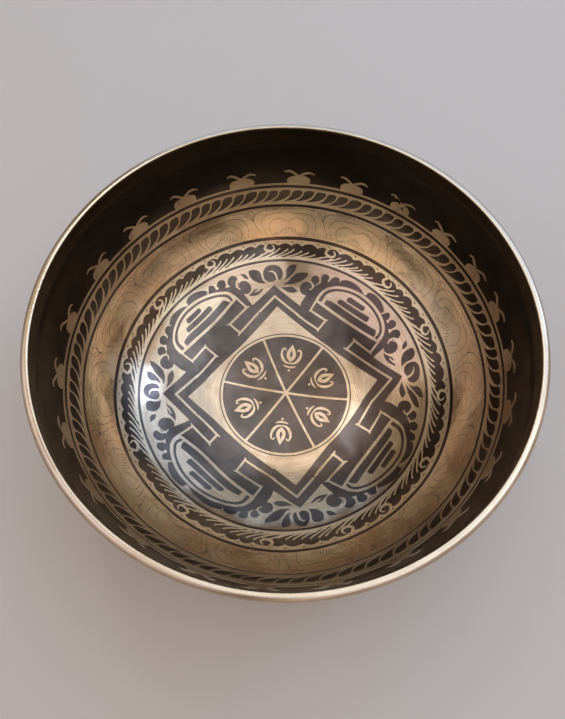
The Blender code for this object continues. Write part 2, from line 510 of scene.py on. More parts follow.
def draw_corner(b):
    # the curl, a round dark leaf with a bright comma in it
    shape(arcs([(-3.6, 91.2), (-2.0, 93.6), (-1.8, 97.0), (-4.2, 100.2), (-8.5, 101.4), (-13, 100.7),
                (-16.2, 98.6), (-17.4, 95.2), (-16.2, 91.6), (-13.2, 89.8), (-9.8, 89.7), (-7.2, 91.2)],
               [(-7.2, 91.2), (-3.6, 91.2)]), True, b)
    line([(-13.0, 96.6), (-10.6, 97.0), (-8.0, 95.8), (-6.6, 93.2), (-6.0, 90.4), (-6.6, 88.4)],
         (0.5, 1.0, 1.5, 1.7, 1.8, 1.6), False, b, True)
    # petals
    shape(arcs([(-15.2, 88.2), (-18.0, 91.3), (-19.2, 95.0), (-21.6, 97.0), (-25.6, 97.2), (-29, 96)],
               [(-29, 96), (-28.2, 93), (-25.8, 90.4), (-21.4, 88.6), (-15.2, 88.2)]), True, b)
    shape(arcs([(-35.6, 93.4), (-32, 93.6), (-30, 92.4), (-28.6, 90.2)],
               [(-28.6, 90.2), (-32, 90.8), (-35.6, 93.4)]), True, b)
    shape(arcs([(-0.8, 91.2), (1.0, 94), (1.0, 98.4), (3.4, 101), (6.4, 101.6), (9.2, 101.4)],
               [(9.2, 101.4), (8.4, 98.2), (5.4, 94.8), (2.0, 92.2), (-0.8, 91.2)]), True, b)
    shape(arcs([(-1.4, 88.5), (2.2, 90), (5.6, 93.3), (10.2, 95.9), (14.5, 96.2), (18.4, 95.6)],
               [(18.4, 95.6), (17.4, 93.1), (13.4, 90.4), (7.8, 88.6), (3.0, 88.2), (-1.4, 88.5)]), True, b)
    shape(arcs([(-3.4, 86), (1, 86.1), (6, 86.2), (10.4, 83.0)],
               [(10.4, 83.0), (7.6, 81.9), (3.0, 82.3), (-0.4, 84), (-3.4, 86)]), True, b)
    # leaf with a bright slit
    shape(arcs([(-16.7, 84.4), (-20, 84.2), (-24.2, 83.4), (-26.2, 81), (-28.6, 78.6)],
               [(-28.6, 78.6), (-24, 78.8), (-20, 80.6), (-16.7, 84.4)]), True, b)
    line([(-19.6, 84.4), (-21.4, 82.8), (-23.6, 81.7)], (1.7, 1.2, 0.9), False, b, True)


for k in range(4):
    draw_ground(bend_map(GATE_KEYS[0], GATE_KEYS[k]))
for k in range(4):
    draw_gate(bend_map(GATE_KEYS[0], GATE_KEYS[k]))
for k in range(4):
    draw_corner(bend_map(CORNER_KEYS[0], CORNER_KEYS[k]))

# the four corners of the chevrons, sharp
for k in range(4):
    ahead, behind = bend_map(GATE_KEYS[0], GATE_KEYS[k]), bend_map(GATE_KEYS[0], GATE_KEYS[k - 1])
    tip, mid, inner = (np.array(GATE_KEYS[k][j], float) for j in range(3))
    a = ahead(np.array([(8.1, 74.9), (10.9, 64.7)]))
    z = behind(np.array([(71.7, 23.9), (64.0, 22.3)]))
    far, near = np.array(GATE_KEYS[(k + 1) % 4][2], float), np.array(GATE_KEYS[k - 1][2], float)
    shape(straight([tip, a[0], inner + 0.2 * (far - inner), inner, inner + 0.2 * (near - inner), z[0]], 1.5, True), True)
    line([mid, a[1]], (1.8, 1.6), False)
    line([mid, z[1]], (1.8, 1.7), False)

# bright square with the wheel in it
TIPS = [(-6, 71.6), (70.0, 9.2), (8.6, -70.6), (-71.2, -5.4)]
shape(straight(TIPS, 1.5, True), False)
HUB = (0.7, 0.6)
shape(disc(*HUB, 50.9, n=160), False)
shape(disc(*HUB, 49.5, n=160), True)
shape(disc(*HUB, 48.6, n=160), False)
shape(disc(*HUB, 46.9, n=160), True)
SPOKES = [-6.5, 52.3, 111.2, 169.5, 232.8, 296.8]
for a in SPOKES:
    c, s = math.cos(math.radians(a)), math.sin(math.radians(a))
    line([(HUB[0] + 0.6, HUB[1] + 0.8), (HUB[0] + 24 * c + 0.2, HUB[1] + 24 * s + 0.2),
          (HUB[0] + 47.6 * c, HUB[1] + 47.6 * s)], (1.9, 1.6, 1.7), False, same, True)
shape(disc(HUB[0] + 0.6, HUB[1] + 0.9, 1.5), False)

# a plain lotus bud in each sixth of the wheel
for i, a in enumerate(SPOKES):
    nxt = SPOKES[(i + 1) % 6] + (360 if i == 5 else 0)
    mid = math.radians(0.5 * (a + nxt))
    ca, sa = math.cos(mid), math.sin(mid)
    k = 1.0 + 0.03 * math.sin(7.3 * i)

    def bud(p, ca=ca, sa=sa, k=k):
        u, v = p[:, 0] * k, p[:, 1] * k + 32.0
        return np.stack([HUB[0] + ca * v + sa * u, HUB[1] + sa * v - ca * u], -1)
    shape(arcs([(0, -5.6), (3.0, -2.4), (3.5, 1.6), (1.9, 5.4), (0, 8.8)],
               [(0, 8.8), (-1.9, 5.4), (-3.5, 1.6), (-3.0, -2.4), (0, -5.6)]), False, bud)
    shape(arcs([(0, -2.2), (1.0, 0.4), (0, 4.4)], [(0, 4.4), (-1.0, 0.4), (0, -2.2)]), True, bud)
    for m in (-1, 1):
        line([(0.4 * m, -6.6), (3.4 * m, -5.9), (6.0 * m, -3.2), (7.3 * m, 0.6), (6.9 * m, 3.9), (5.4 * m, 4.9),
              (4.6 * m, 3.6)], (1.0, 1.7, 2.2, 2.1, 1.6, 1.3, 0.9), False, bud, True)
    line([(-4.4, -8.6), (-1.8, -9.5), (1.8, -9.5), (4.4, -8.6)], (0.8, 1.6, 1.6, 0.8), False, bud, True)
    shape(disc(0, -12.1, 0.95), False, bud)

# ---------------------------------------------------------------------------
# 3. Leaf scroll: scalloped dark leaves, feathered on the inner side, each one
#    ending in a bright curl
# ---------------------------------------------------------------------------
CURLS = [21.3, 45.6, 71.5, 96.3, 121.3, 147.8, 176.4, 206.4, 234.9, 264.9, 291.8, 306.6, 327.8, 354.3]
g = np.random.default_rng(11)
for i, c0 in enumerate(CURLS):
    c1 = CURLS[(i + 1) % len(CURLS)] + (360 if i == len(CURLS) - 1 else 0)
    width = c1 - c0
    m = max(3, int(round(width / 5.1)))
    cusps = [c0 + 1.0] + [c0 + 1.0 + width * (j + 0.15 * g.uniform(-1, 1)) / m for j in range(1, m)] + [c1 + 1.0]
    crest = []
    for j in range(m):
        a, b = cusps[j], cusps[j + 1]
        pk = 122.4 + g.uniform(-0.5, 0.35)
        cu = 120.1 + g.uniform(-0.35, 0.35)
        crest.append(smooth([(a, 120.1), (a + 0.2 * (b - a), pk - 0.7), (a + 0.5 * (b - a), pk),
                             (a + 0.82 * (b - a), pk - 1.0), (b, cu)], 0.7))
    body = np.vstack(crest + [[(c1 + 1.0, 117.0), (c1 + 2.4, 113.2), (c1 + 5.2, 111.4), (c1 + 2.0, 111.7),
                               (0.5 * (c0 + c1), 112.0), (c0 + 5.8, 111.6), (c0 + 3.2, 112.6), (c0 + 1.3, 114.4)]])
    shape(body, True, same, band_to_flat)
    # dark notches over the scallops
    for q in cusps[1:]:
        u = q + 0.25 * g.uniform(-1, 1)
        k = g.uniform(0.7, 1.35)
        shape(np.array([(u - 0.62 * k, 123.75), (u - 0.1, 123.5), (u + 0.66 * k, 123.9),
                        (u + 0.16, 122.75), (u - 0.14, 122.65)]), True, same, band_to_flat)
for i, c0 in enumerate(CURLS):
    # bright feathers that sweep down and to the right out of the leaf
    c1 = CURLS[(i + 1) % len(CURLS)] + (360 if i == len(CURLS) - 1 else 0)
    width = c1 - c0
    n = int(round((width - 2.0) / 2.75))
    for j in range(n):
        t = (j + 0.16 * g.uniform(-1, 1)) / n
        a = c0 + 3.2 + t * (width - 2.0)
        h = 114.2 + 4.3 * max(t, 0.0) ** 0.7 + 0.25 * g.uniform(-1, 1)
        if a > c1 - 2.4:
            h = min(h, 114.8)
        e = 3.6 + 0.55 * (h - 112.0)
        line([(a, h), (a + 0.18 * e, h - 0.3 * (h - 111.2)), (a + 0.5 * e, h - 0.66 * (h - 111.2)),
              (a + e, 111.0)], (1.15, 1.0, 0.9, 1.0, 1.7), False, same, True, band_to_flat, 0.4)
for c0 in CURLS:
    # the curl, over the joint of two leaves: a dark eye in a bright hook
    turn = np.linspace(0, 2 * math.pi, 22, endpoint=False)
    shape(np.stack([c0 - 0.15 + 1.55 * np.cos(turn), 119.3 + 2.8 * np.sin(turn)], -1), True, same, band_to_flat)
    line([(c0 + 0.3, 123.6), (c0 + 0.9, 121.6), (c0 + 1.75, 119.0), (c0 + 1.1, 117.1), (c0 - 0.5, 116.2),
          (c0 - 1.8, 117.3), (c0 - 2.0, 119.3), (c0 - 1.35, 120.6)],
         (1.5, 1.6, 1.9, 2.1, 2.0, 1.7, 1.2, 1.0), False, same, True, band_to_flat, 0.3)
    line([(c0 + 0.1, 116.3), (c0 + 1.7, 114.8), (c0 + 4.4, 112.3), (c0 + 5.6, 111.2)], (1.5, 1.0, 1.0, 1.4), False,
         same, True, band_to_flat, 0.4)

# ---------------------------------------------------------------------------
# 4. Plain polished band: fine engraved cloud lines and hatching
# ---------------------------------------------------------------------------
g = np.random.default_rng(23)
CLOUDS = [17.9, 40.5, 64.5, 88.9, 113.3, 135.4, 161.5, 188.3, 214.5, 238.0, 260.0, 283.5, 306.5, 330.0, 353.8]
FINE = 0.34
for i, a in enumerate(CLOUDS):
    before = a - CLOUDS[i - 1] + (360 if i == 0 else 0)
    after = CLOUDS[(i + 1) % len(CLOUDS)] - a + (360 if i == len(CLOUDS) - 1 else 0)
    d = g.uniform(-0.5, 0.5, 16)

    def cloud(p, a=a, before=before / 24.0, after=after / 24.0):
        return np.stack([a + p[:, 0] * np.where(p[:, 0] < 0, before, after), p[:, 1]], -1)

    def fine(pts, cloud=cloud, w=FINE):
        line(pts, (0.24, w, w, w, w, 0.24), True, cloud, True, band_to_flat, 0.5)
    # a cloud of two humps, inside a wider one, inside a third
    fine([(-6.3, 128.9), (-7.3, 133 + d[0]), (-7.0, 137.2), (-5.4, 140.8), (-2.9, 142.5 + d[1]), (-1.1, 141.3), (0, 139.3 + d[2])])
    fine([(0, 139.3 + d[2]), (1.4, 141.1), (3.6, 141.8 + d[3]), (5.6, 140.1), (6.7, 136.2), (6.3, 132 + d[4]), (5.5, 129.0)])
    fine([(-9.4, 129.0), (-9.9, 134), (-9.6, 139 + d[5]), (-8.5, 143.4), (-6, 146.0 + d[6]), (-2.2, 146.2), (0, 147.6 + d[7])])
    fine([(0, 147.6 + d[7]), (1.7, 146.3), (5.0, 146.2 + d[8]), (8.0, 144.1), (9.3, 140), (8.6, 134 + d[9]), (7.3, 129.0)])
    fine([(-11.9, 141.6), (-11.0, 147.0 + d[10]), (-8.5, 149.7), (-3, 150.4 + 0.5 * d[11]), (0, 149.7), (3, 150.3),
          (7.5, 150.0), (10.6, 147.6), (11.9, 143.0 + d[12]), (11.3, 138), (10.1, 133.5), (9.7, 129.0)])
    # a small loop where two clouds meet
    fine([(12.0, 141.8), (13.2, 144.6), (14.2, 147.0 + d[13]), (13.3, 149.4), (11.8, 149.6), (11.3, 147.4), (12.0, 144.6),
          (12.1, 141.8)])
    if i % 3 == 1:
        fine([(-5.0, 135.0), (-3.4, 138.2), (-1.4, 137.4), (0.4, 136.2)], w=0.28)
    # short strokes heaped up under the cloud
    u = -5.4 + 0.3 * g.uniform()
    while u < 5.2:
        top = 131.0 + 5.2 * math.exp(-((u + 0.3) / 2.7) ** 2) + g.uniform(-0.35, 0.35)
        long = 2.2 + 0.9 * g.uniform() + 0.6 * math.exp(-(u / 3.0) ** 2)
        line([(u, top), (u + 0.14, top - 0.5 * long), (u + 0.42, max(top - long, 128.6))], (0.28, 0.5, 0.34), True, cloud, True,
             band_to_flat, 0.5)
        if -3.6 < u < 1.5 and g.uniform() < 0.7:
            low = top - long - 0.5
            line([(u + 0.25, low), (u + 0.5, max(low - 1.7, 128.5))], (0.28, 0.42), True, cloud, True, band_to_flat, 0.5)
        u += 0.74 + 0.22 * g.uniform()

# ---------------------------------------------------------------------------
# 5. Rope of dark drops, and a row of small fruits that stand on the line
# ---------------------------------------------------------------------------
g = np.random.default_rng(31)
DROPS = 98
step = 360.0 / DROPS
starts = [step * (i + 0.12 * g.uniform(-1, 1)) for i in range(DROPS)]
for i in range(DROPS):
    a = starts[i]
    room = ((starts[(i + 1) % DROPS] - a) % 360.0) / 3.67
    tip = 156.3 + g.uniform(-0.25, 0.25)
    top = 165.9 + g.uniform(-0.25, 0.2)

    def drop(p, a=a, room=room, tip=tip, top=top):
        return np.stack([a + p[:, 0] * room, tip + p[:, 1] * (top - tip)], -1)
    shape(arcs([(-0.08, 0.87), (0.22, 0.985), (0.95, 1.025), (1.8, 1.015), (2.6, 0.95), (3.12, 0.83)],
               [(3.12, 0.83), (3.38, 0.63), (3.75, 0.43), (4.5, 0.21), (5.5, 0.05), (6.2, -0.01)],
               [(6.2, -0.01), (4.9, 0.005), (3.45, 0.075), (2.0, 0.21), (0.93, 0.39), (0.26, 0.6), (-0.08, 0.87)], step=0.15),
          True, drop, band_to_flat)
    if g.uniform() < 0.45:
        shape(disc(-0.28, 1.06, 0.16, 0.03, n=8), True, drop, band_to_flat)
FRUIT_AT = [12.2, 25.0, 39.2, 54.2, 69.8, 86.0, 103.2, 121.2, 137.8, 153.8, 171.7, 187.5, 203.8, 219.8, 235.0, 251.3,
            265.3, 280.8, 297.3, 312.5, 328.0, 343.5, 357.8]
FRUIT_W = [6.2, 6.3, 6.6, 6.3, 6.9, 7.0, 7.5, 7.2, 7.1, 7.0, 6.2, 6.8, 7.1, 7.2, 6.6, 6.4, 6.6, 6.2, 6.0, 6.2, 6.5, 6.4, 6.2]
for a, w in zip(FRUIT_AT, FRUIT_W):
    k = w / 2.0
    d = g.uniform(-0.25, 0.25, 8)

    def fruit(p, a=a):
        return np.stack([a + p[:, 0], p[:, 1]], -1)
    shape(smooth([(-0.78 * k, 171.0), (-0.97 * k, 173.0 + d[0]), (-1.0 * k, 175.2), (-0.78 * k, 177.3), (-0.4 * k, 178.2 + d[1]),
                  (0, 177.6), (0.42 * k, 178.1), (0.8 * k, 177.0 + d[2]), (1.0 * k, 174.8), (0.96 * k, 172.8),
                  (0.76 * k, 171.0)], 0.3, True), False, fruit, band_to_flat)
    line([(0.3, 177.0), (-0.7, 179.0), (-2.2, 180.9 + d[3]), (-3.4, 181.2), (-4.4 + d[4], 180.2)], (1.5, 1.9, 1.9, 1.7, 0.9), False,
         fruit, True, band_to_flat, 0.2)
    line([(-0.3, 177.2), (0.7, 179.2), (1.9, 181.4), (3.0, 182.6 + d[5]), (3.9 + d[6], 182.0)], (1.5, 2.0, 1.9, 1.8, 1.0), False,
         fruit, True, band_to_flat, 0.2)
line([(53.2, 174.8), (54.0, 175.6)], (1.6, 1.0), True, same, False, band_to_flat)        # one fruit is worn through
line([(54.7, 177.6), (55.1, 179.4), (55.8, 180.6)], (1.0, 1.9, 1.5), True, same, True, band_to_flat, 0.2)
line([(54.4, 181.0), (55.0, 179.6)], (1.2, 1.6), True, same, False, band_to_flat)

# ---------------------------------------------------------------------------
# 6. From the drawing to metal: outlines, triangles, thin closed solids
# ---------------------------------------------------------------------------
LIFT = 0.17                                               # top of the raised metal, mm
SINK = 0.14                                               # how far it reaches into the wall


def outlines(F, cell, half):
    """Closed outlines of F > 0 by marching squares, inside on the left."""
    n = F.shape[1]
    ins = F > 0
    code = (ins[:-1, :-1] * 1 + ins[:-1, 1:] * 2 + ins[1:, 1:] * 4 + ins[1:, :-1] * 8)
    jj, ii = np.nonzero((code > 0) & (code < 15))
    cc = code[jj, ii]
    base = n * n
    edge = {"B": jj * n + ii, "T": (jj + 1) * n + ii, "L": base + jj * n + ii, "R": base + jj * n + ii + 1}
    table = {1: ["BL"], 2: ["RB"], 3: ["RL"], 4: ["TR"], 5: ["BL", "TR"], 6: ["TB"], 7: ["TL"], 8: ["LT"],
             9: ["BT"], 10: ["RB", "LT"], 11: ["RT"], 12: ["LR"], 13: ["BR"], 14: ["LB"]}
    start, end = [], []
    for c, ways in table.items():
        pick = cc == c
        for way in ways:
            start.append(edge[way[0]][pick])
            end.append(edge[way[1]][pick])
    start, end = np.concatenate(start), np.concatenate(end)
    order = np.argsort(start)
    start, end = start[order], end[order]
    follow = np.searchsorted(start, end)
    # where each crossing lies
    level = start >= base
    k = np.where(level, start - base, start)
    j, i = k // n, k % n
    j2, i2 = np.where(level, j + 1, j), np.where(level, i, i + 1)
    a, b = F[j, i].astype(float), F[j2, i2].astype(float)
    t = np.clip(a / (a - b), 0.06, 0.94)
    x = (i + np.where(level, 0, t)) * cell - half
    y = (j + np.where(level, t, 0)) * cell - half
    pts = np.stack([x, y], -1)
    follow = follow.tolist()
    seen = bytearray(len(follow))
    loops = []
    for k0 in range(len(follow)):
        if seen[k0]:
            continue
        loop, k1 = [], k0
        while not seen[k1]:
            seen[k1] = 1
            loop.append(k1)
            k1 = follow[k1]
        loops.append(pts[loop])
    return loops


def thin(p, tol):
    """Douglas-Peucker on a closed loop."""
    n = len(p)
    far = int(np.argmax(((p - p[0]) ** 2).sum(1)))
    q = np.vstack([p, p[:1]])
    keep = np.zeros(n + 1, bool)
    keep[[0, far, n]] = True
    stack = [(0, far), (far, n)]
    while stack:
        i, j = stack.pop()
        if j - i < 2:
            continue
        a, d = q[i], q[j] - q[i]
        ln = math.hypot(d[0], d[1])
        v = q[i + 1:j] - a
        if ln < 1e-9:
            dist = np.hypot(v[:, 0], v[:, 1])
        else:
            dist = np.abs(v[:, 0] * d[1] - v[:, 1] * d[0]) / ln
        m = int(np.argmax(dist))
        if dist[m] > tol:
            m += i + 1
            keep[m] = True
            stack += [(i, m), (m, j)]
    return q[:-1][keep[:-1]]


def area(p):
    x, y = p[:, 0], p[:, 1]
    return 0.5 * float(np.sum(x * np.roll(y, -1) - np.roll(x, -1) * y))


def long_cut(p, most):
    nxt = np.roll(p, -1, 0)
    out = []
    for a, b in zip(p, nxt):
        m = max(1, int(math.ceil(np.hypot(*(b - a)) / most)))
        for k in range(m):
            out.append(a + (b - a) * (k / m))
    return np.array(out)


def solid_from(F, name, spacing=2.3, most=2.6, tol=0.022, least=0.12):
    """A thin closed solid that covers F > 0 and follows the hammered wall."""
    loops = [thin(p, tol) for p in outlines(F, ink.cell, ink.half)]
    loops = [long_cut(p, most) for p in loops if len(p) >= 3 and abs(area(p)) > least]
    pts, edges = [], []
    for p in loops:
        k = len(pts)
        pts.extend(map(tuple, p))
        edges.extend((k + i, k + (i + 1) % len(p)) for i in range(len(p)))
    # a loose net of points inside the wide areas, so that they follow the wall
    rows = np.arange(-ink.half, ink.half, spacing * 0.866)
    gx, gy = [], []
    for r, y in enumerate(rows):
        xs = np.arange(-ink.half + (r % 2) * spacing * 0.5, ink.half, spacing)
        gx.append(xs)
        gy.append(np.full(len(xs), y))
    gx, gy = np.concatenate(gx), np.concatenate(gy)
    gi = np.clip(np.rint((gx + ink.half) / ink.cell).astype(int), 0, ink.n - 1)
    gj = np.clip(np.rint((gy + ink.half) / ink.cell).astype(int), 0, ink.n - 1)
    ok = F[gj, gi] > 0.85
    pts.extend(zip(gx[ok].tolist(), gy[ok].tolist()))
    vs, es, fs, _ov, oe, _of = delaunay_2d_cdt([Vector(p) for p in pts], edges, [], 0, 1e-6)
    V = np.array([tuple(v) for v in vs])
    T = np.array([f for f in fs if len(f) == 3], int)
    fixed = {(min(a, b), max(a, b)) for (a, b), o in zip(es, oe) if len(o)}
    # regions bounded by the outlines, each one metal or ground as a whole
    nT = len(T)
    parent = list(range(nT))

    def find(a):
        while parent[a] != a:
            parent[a] = parent[parent[a]]
            a = parent[a]
        return a
    seen = {}
    for ti, (a, b, c) in enumerate(T.tolist()):
        for e in ((a, b), (b, c), (c, a)):
            e = (min(e), max(e))
            if e in fixed:
                continue
            if e in seen:
                ra, rb = find(seen[e]), find(ti)
                if ra != rb:
                    parent[ra] = rb
            else:
                seen[e] = ti
    root = np.array([find(i) for i in range(nT)])
    P = V[T]
    mid = P.mean(1)
    twice = ((P[:, 1, 0] - P[:, 0, 0]) * (P[:, 2, 1] - P[:, 0, 1])
             - (P[:, 2, 0] - P[:, 0, 0]) * (P[:, 1, 1] - P[:, 0, 1]))
    flip = twice < 0
    T[flip] = T[flip][:, ::-1]
    fi = np.clip(np.rint((mid[:, 0] + ink.half) / ink.cell).astype(int), 0, ink.n - 1)
    fj = np.clip(np.rint((mid[:, 1] + ink.half) / ink.cell).astype(int), 0, ink.n - 1)
    vote = np.bincount(root, weights=np.abs(twice) * np.sign(F[fj, fi]), minlength=nT)
    T = T[vote[root] > 0]
    return build_solid(V, T, name)


def build_solid(V, T, name):
    # separate fans that only touch at a point
    T = T.copy()
    V = [tuple(v) for v in V]
    owner = {}
    for ti, tri in enumerate(T.tolist()):
        for k in range(3):
            owner[(tri[k], tri[(k + 1) % 3])] = ti
    rim = [e for e in owner if (e[1], e[0]) not in owner]
    outs = {}
    for a, b in rim:
        outs.setdefault(a, []).append((a, b))
    pinched = [v for v, es in outs.items() if len(es) > 1]
    if pinched:
        at = {v: [] for v in pinched}
        for ti, tri in enumerate(T.tolist()):
            for v in tri:
                if v in at:
                    at[v].append(ti)
        for v in pinched:
            left = set(at[v])
            first = True
            while left:
                fan, todo = set(), [left.pop()]
                while todo:
                    ti = todo.pop()
                    fan.add(ti)
                    tri = T[ti].tolist()
                    for tj in list(left):
                        if len(set(tri) & set(T[tj].tolist())) >= 2 and v in T[tj]:
                            left.discard(tj)
                            todo.append(tj)
                if not first:
                    V.append(V[v])
                    nv = len(V) - 1
                    for ti in fan:
                        T[ti][T[ti] == v] = nv
                first = False
    V = np.array(V)
    used = np.unique(T)
    remap = np.full(len(V), -1)
    remap[used] = np.arange(len(used))
    V, T = V[used], remap[T]
    n = len(V)
    top = inside(V[:, 0], V[:, 1], LIFT)
    low = inside(V[:, 0], V[:, 1], -SINK)
    nrm = inside_normal(V[:, 0], V[:, 1])
    owner = set()
    for tri in T.tolist():
        for k in range(3):
            owner.add((tri[k], tri[(k + 1) % 3]))
    rim = np.array([e for e in owner if (e[1], e[0]) not in owner], int)
    rim = rim[np.lexsort((rim[:, 1], rim[:, 0]))]
    verts = np.vstack([top, low]) / 1000.0
    walls = np.vstack([np.stack([rim[:, 1], rim[:, 0], rim[:, 0] + n], -1),
                       np.stack([rim[:, 1], rim[:, 0] + n, rim[:, 1] + n], -1)])
    faces = np.vstack([T, T[:, ::-1] + n, walls])
    me = mesh_of(name, verts, faces)
    # smooth metal on top, crisp etched edges
    a = verts[walls[:, 1]] - verts[walls[:, 0]]
    b = verts[walls[:, 2]] - verts[walls[:, 0]]
    wn = np.cross(a, b)
    wn /= np.maximum(np.linalg.norm(wn, axis=1, keepdims=True), 1e-12)
    ln = np.vstack([nrm[T.ravel()], -nrm[T[:, ::-1].ravel()], np.repeat(wn, 3, 0)])
    me.polygons.foreach_set("use_smooth", np.ones(len(faces), bool))
    me.normals_split_custom_set(ln.tolist())
    ob = bpy.data.objects.new(name, me)
    bpy.context.scene.collection.objects.link(ob)
    return ob


def mesh_of(name, verts, faces):
    me = bpy.data.meshes.new(name)
    faces = np.asarray(faces)
    k = faces.shape[1]
    me.vertices.add(len(verts))
    me.vertices.foreach_set("co", np.asarray(verts, np.float32).ravel())
    me.loops.add(faces.size)
    me.loops.foreach_set("vertex_index", faces.ravel().astype(np.int32))
    me.polygons.add(len(faces))
    me.polygons.foreach_set("loop_start", np.arange(0, faces.size, k, dtype=np.int32))
    me.update(calc_edges=True)
    me.validate(verbose=False)
    return me


def only(inner, outer):
    """The drawing between two rings round the wall."""
    F = ink.f.copy()
    block = 256
    for j in range(0, ink.n, block):
        Y = ink.axis[j:j + block][:, None]
        X = ink.axis[None, :]
        S = np.hypot(X, Y)
        A = np.arctan2(Y, X)
        d = np.full(S.shape, CAP)
        if inner is not None:
            d = np.minimum(d, S - inner(A))
        if outer is not None:
            d = np.minimum(d, outer(A) - S)
        F[j:j + block] = np.minimum(F[j:j + block], d)
    F[:2] = F[-2:] = -1
    F[:, :2] = F[:, -2:] = -1
    return F


relief = {
    "mandala": solid_from(only(None, RING_1), "mandala"),
    "leaf_scroll": solid_from(only(RING_1, RING_2), "leaf_scroll"),
    "polished_band": solid_from(only(RING_2, RING_3), "polished_band"),
    "rope_band": solid_from(only(RING_3, RING_4), "rope_band"),
    "fruit_row": solid_from(only(RING_4, None), "fruit_row"),
}

# ---- the bowl itself -------------------------------------------------------
COLS = 360
ROWS_IN, ROWS_OUT = 124, 124
LIP_LINE = [(IN_R - 0.28, HEIGHT - 1.50), (IN_R - 0.54, HEIGHT - 0.95), (IN_R - 0.60, HEIGHT - 0.45),
            (IN_R - 0.46, HEIGHT - 0.13), (IN_R - 0.15, HEIGHT), (IN_R + 1.05, HEIGHT), (IN_R + 1.45, HEIGHT - 0.05),
            (IN_R + 1.95, HEIGHT - 0.17), (IN_R + 2.45, HEIGHT - 0.38), (IN_R + 2.92, HEIGHT - 0.72),
            (IN_R + 3.28, HEIGHT - 1.15), (IN_R + 3.5, HEIGHT - 1.65), (IN_R + 3.6, HEIGHT - 2.3)]


def blows():
    """Where the hammer fell on the outside, ring by ring, mm."""
    g = np.random.default_rng(77)
    ang = np.linspace(0.0, 1.0, 4001) * math.pi / 2
    ro, zo = superellipse(ang, OUT_R, OUT_DEPTH, OUT_N)
    so = np.concatenate([[0], np.cumsum(np.hypot(np.diff(ro), np.diff(zo)))])
    end = float(np.interp(0.0, -zo, so))
    hits = []
    s = 3.0
    while s < end + 6.0:
        r, z = np.interp(s, so, ro), np.interp(s, so, zo)
        n = max(3, int(round(2 * math.pi * r / 12.2)))
        turn = g.uniform(0, 2 * math.pi)
        for k in range(n):
            a = turn + (k + g.uniform(-0.26, 0.26)) * 2 * math.pi / n
            t = s + g.uniform(-2.6, 2.6)
            q = float(np.interp(t, so, ro))
            hits.append((q * math.cos(a), q * math.sin(a), float(np.interp(t, so, zo)), g.uniform(-5.0, 5.0)))
        s += 11.0
    return np.array(hits)


BLOWS = blows()


def hammered_out(x, y, z):
    """Shallow dishes side by side with soft ridges between them, over a slower unevenness."""
    p = np.stack([x, y, z], -1).reshape(-1, 3)
    near = np.full(len(p), 1e9)
    parts = []
    for c in BLOWS:
        if abs(c[2] - p[0, 2]) > 24.0:
            continue
        parts.append(((p - c[:3]) ** 2).sum(-1) + c[3])
    if parts:
        d = np.array(parts)
        low = d.min(0)
        near = low - 6.0 * np.log(np.exp(-(d - low) / 6.0).sum(0))
    dish = np.clip(near, -8.0, 60.0).reshape(np.shape(x)) / 40.0
    return 0.30 * dish - 0.20 + 0.24 * noise3(x, y, z, 24.0, 9.0), dish


def out_of_round(p):
    """Hand work: above the pattern the mouth is a hair off a true circle."""
    r = np.maximum(np.hypot(p[..., 0], p[..., 1]), 1e-6)
    c, s = p[..., 0] / r, p[..., 1] / r
    k = np.clip((p[..., 2] - 94.0) / 26.0, 0.0, 1.0)
    push = k * k * (3 - 2 * k) * (0.50 + 0.50 * c - 0.60 * s - 0.10 * (c * c - s * s))
    return np.stack([p[..., 0] + push * c, p[..., 1] + push * s, p[..., 2]], -1)


